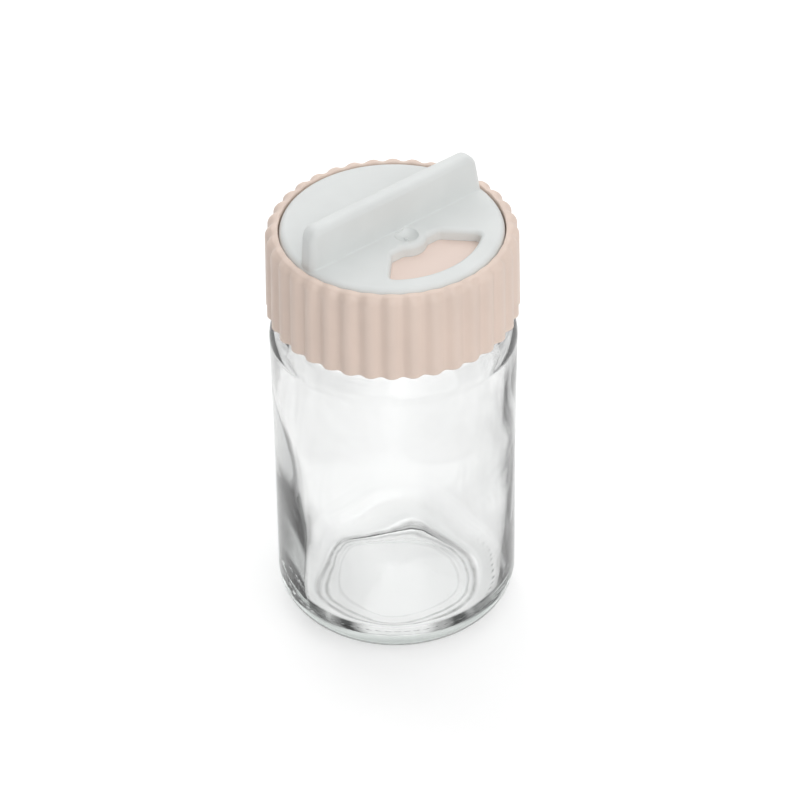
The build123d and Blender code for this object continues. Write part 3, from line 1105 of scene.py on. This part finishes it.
class CELLAR_OT_turning_dial(bpy.types.Operator):
    """Makes the dial: plate, window, dish, grip fin and split snap stud"""

    bl_idname = "cellar.turning_dial"
    bl_label = "Turning dial"

    columns = 360

    def execute(self, context):
        _, _, _, dial = settings()
        top = CAP_HIGH.z
        plate = dial_plate(dial, top, self.columns)
        for tool, operation in ((dial_window, "DIFFERENCE"), (dial_dish, "DIFFERENCE"),
                                (dial_nub, "UNION"), (dial_fin, "UNION"),
                                (dial_slot, "DIFFERENCE")):
            combined(plate, tool(dial, top), operation)
        plate.data.materials.clear()
        plate.data.materials.append(moulded_plastic("pale_plastic", dial.base, 0.40, 0.20))
        smoothed(plate, radians(42))
        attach(plate, "dial")
        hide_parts("dial")
        return {"FINISHED"}


def new_camera(stage):
    """The camera, from the photograph's own angle."""
    aim = Vector((stage.aim_across, 0, stage.aim_height))
    lift = stage.camera_height
    back = Vector((0, -cos(lift), sin(lift)))
    camera = linked("camera", bpy.data.cameras.new("camera"))
    camera.data.lens = stage.lens
    camera.data.clip_end = 20.0
    look = Matrix.Rotation(pi / 2 - lift, 4, "X")
    roll = Matrix.Rotation(stage.camera_roll, 4, "Z")
    camera.matrix_world = Matrix.Translation(aim + back * stage.camera_distance) @ look @ roll
    bpy.context.scene.camera = camera


def new_floor(stage):
    """A wide pale floor that keeps the shadow and shows white to the camera and in glass, with
    painted shade streaks that only rays thrown back inside the glass see.
    """
    mesh = bpy.data.meshes.new("floor")
    disc = bmesh.new()
    bmesh.ops.create_circle(disc, cap_ends=True, segments=96, radius=stage.floor_radius)
    disc.to_mesh(mesh)
    disc.free()
    material, shader, place = new_material("pale_floor")
    pale = colour_mix(noise(place, 0.3), opaque(stage.floor, 0.99), opaque(stage.floor))
    path = light_path(material.node_tree)
    in_glass = path["Is Transmission Ray"]
    seen = path["Is Camera Ray"].most(path["Is Glossy Ray"]).most(in_glass)
    # Painted shade streaks on the floor, seen only by rays thrown back inside the glass.
    painted_streaks = painted_reflection_shade(path, place)
    fed(shader, {
        "Base Color": colour_mix((1.0 - in_glass * 0.5) * painted_streaks, BLACK, pale),
        "Roughness": 0.9,
        "Specular IOR Level": 0.1,
        "Emission Color": WHITE,
        "Emission Strength": (seen * 0.35 + in_glass * 0.38) * painted_streaks,
    })
    mesh.materials.append(material)
    floor = linked("floor", mesh)


def painted_reflection_shade(path, place):
    """Painted shade: less than 1 in streaks, for rays that glass has thrown back inside its own
    wall.
    """
    out_by = Number(new_node(place.id_data, "ShaderNodeVectorMath", {0: place},
                             operation="LENGTH").outputs["Value"])
    x, y, _ = split(place)
    streak_width, streak_length = 0.2, 40 * MM
    around = joined(x.turn_from(y) / streak_width, out_by / streak_length)
    # A band of the floor on one side is left out of the painted shade, which paints a lighter
    # stretch of the wall.
    band = out_by.ramp(82 * MM, 92 * MM) * out_by.ramp(124 * MM, 112 * MM) * (x < 0.0)
    share = noise(around, 1.0, 1.0).between(0.45, 1.35)
    for limit in (path["Transmission Depth"].least(1.0), path["Glossy Depth"].least(1.0),
                  out_by.ramp(95 * MM, 125 * MM, 1.0, 0.45),
                  (abs(x) / out_by).ramp(0.28, 0.50), 1.0 - band * 0.8):
        share = share * limit
    darkest = 0.92
    return (1.0 - share * darkest).most(0.0)


def surroundings():
    """White all round for what is seen, with dim sides higher up, and an even soft light."""
    world = bpy.data.worlds.new("studio")
    bpy.context.scene.world = world
    world.use_nodes = True
    tree = world.node_tree
    x, _, z = split(tree.nodes.new("ShaderNodeTexCoord").outputs["Generated"])
    dark = z.ramp(0.10, 0.35, kind="LINEAR") * abs(x).ramp(0.30, 0.60, kind="LINEAR")
    path = light_path(tree)
    darkest, ambient = 0.92, 0.50
    shade = 1.0 - dark * darkest
    mirrored = path["Is Glossy Ray"].most(path["Is Transmission Ray"])
    shown = mirrored * (shade - ambient) + path["Is Camera Ray"] * (1 - ambient)
    fed(tree.nodes["Background"], {"Color": WHITE, "Strength": shown + ambient})


def new_lamp(name, azimuth, elevation, distance, size, level):
    """A square soft lamp that gives a plain level of light to a surface that faces it."""
    turn, lift = radians(azimuth), radians(elevation)
    way = Vector((cos(turn) * cos(lift), sin(turn) * cos(lift), sin(lift)))
    light = bpy.data.lights.new(name, "AREA")
    light.shape = "SQUARE"
    light.size = size
    light.energy = level * pi ** 2 * distance ** 2
    lamp = linked(name, light)
    middle = Vector((0, 0, 60 * MM))
    facing = way.to_track_quat("Z", "Y").to_matrix().to_4x4()
    lamp.matrix_world = Matrix.Translation(middle + way * distance) @ facing
    return lamp


class CELLAR_OT_stage(bpy.types.Operator):
    """Sets the floor, the soft light and the camera"""

    bl_idname = "cellar.stage"
    bl_label = "Stage"

    def execute(self, context):
        stage = context.scene.cellar_stage
        context.scene.view_settings.view_transform = "Standard"
        new_camera(stage)
        new_floor(stage)
        surroundings()
        # Direction from +X and elevation in degrees, distance, size and level.
        new_lamp("key_lamp", -60.0, 40.0, 1.40, 1.4, 0.45)
        new_lamp("rear_lamp", 62.0, 60.0, 1.45, 1.2, 0.20)
        side = new_lamp("side_lamp", 118.0, 38.0, 1.45, 1.0, 0.26)
        side.visible_glossy = False
        side.visible_transmission = False
        return {"FINISHED"}


PIECES = (CELLAR_OT_glass_jar, CELLAR_OT_sealing_ring, CELLAR_OT_fluted_cap,
          CELLAR_OT_turning_dial, CELLAR_OT_stage)
GROUPS = (
    ("cellar_jar", JarSettings),
    ("cellar_thread", ThreadSettings),
    ("cellar_cap", CapSettings),
    ("cellar_dial", DialSettings),
    ("cellar_stage", StageSettings),
)


class CELLAR_PT_pieces(bpy.types.Panel):
    """Lists the pieces and their settings"""

    bl_label = "Salt cellar"
    bl_space_type = "VIEW_3D"
    bl_region_type = "UI"
    bl_category = "Salt cellar"

    def draw(self, context):
        for piece in PIECES:
            self.layout.operator(piece.bl_idname)
        for name, group in GROUPS:
            box = self.layout.box()
            box.label(text=group.__doc__)
            for key in group.__annotations__:
                box.prop(getattr(context.scene, name), key)


register_classes, unregister_classes = bpy.utils.register_classes_factory(
    (*[group for _, group in GROUPS], *PIECES, CELLAR_PT_pieces)
)


def register():
    """Registers the settings, the operators and the panel."""
    register_classes()
    for name, group in GROUPS:
        setattr(bpy.types.Scene, name, PointerProperty(type=group))


def unregister():
    """Takes back what register added."""
    for name, _ in GROUPS:
        delattr(bpy.types.Scene, name)
    unregister_classes()


def main():
    """Builds the whole scene."""
    register()
    bpy.ops.cellar.stage()
    bpy.ops.cellar.glass_jar()
    bpy.ops.cellar.sealing_ring()
    bpy.ops.cellar.fluted_cap()
    bpy.ops.cellar.turning_dial()


if __name__ == "__main__":
    main()
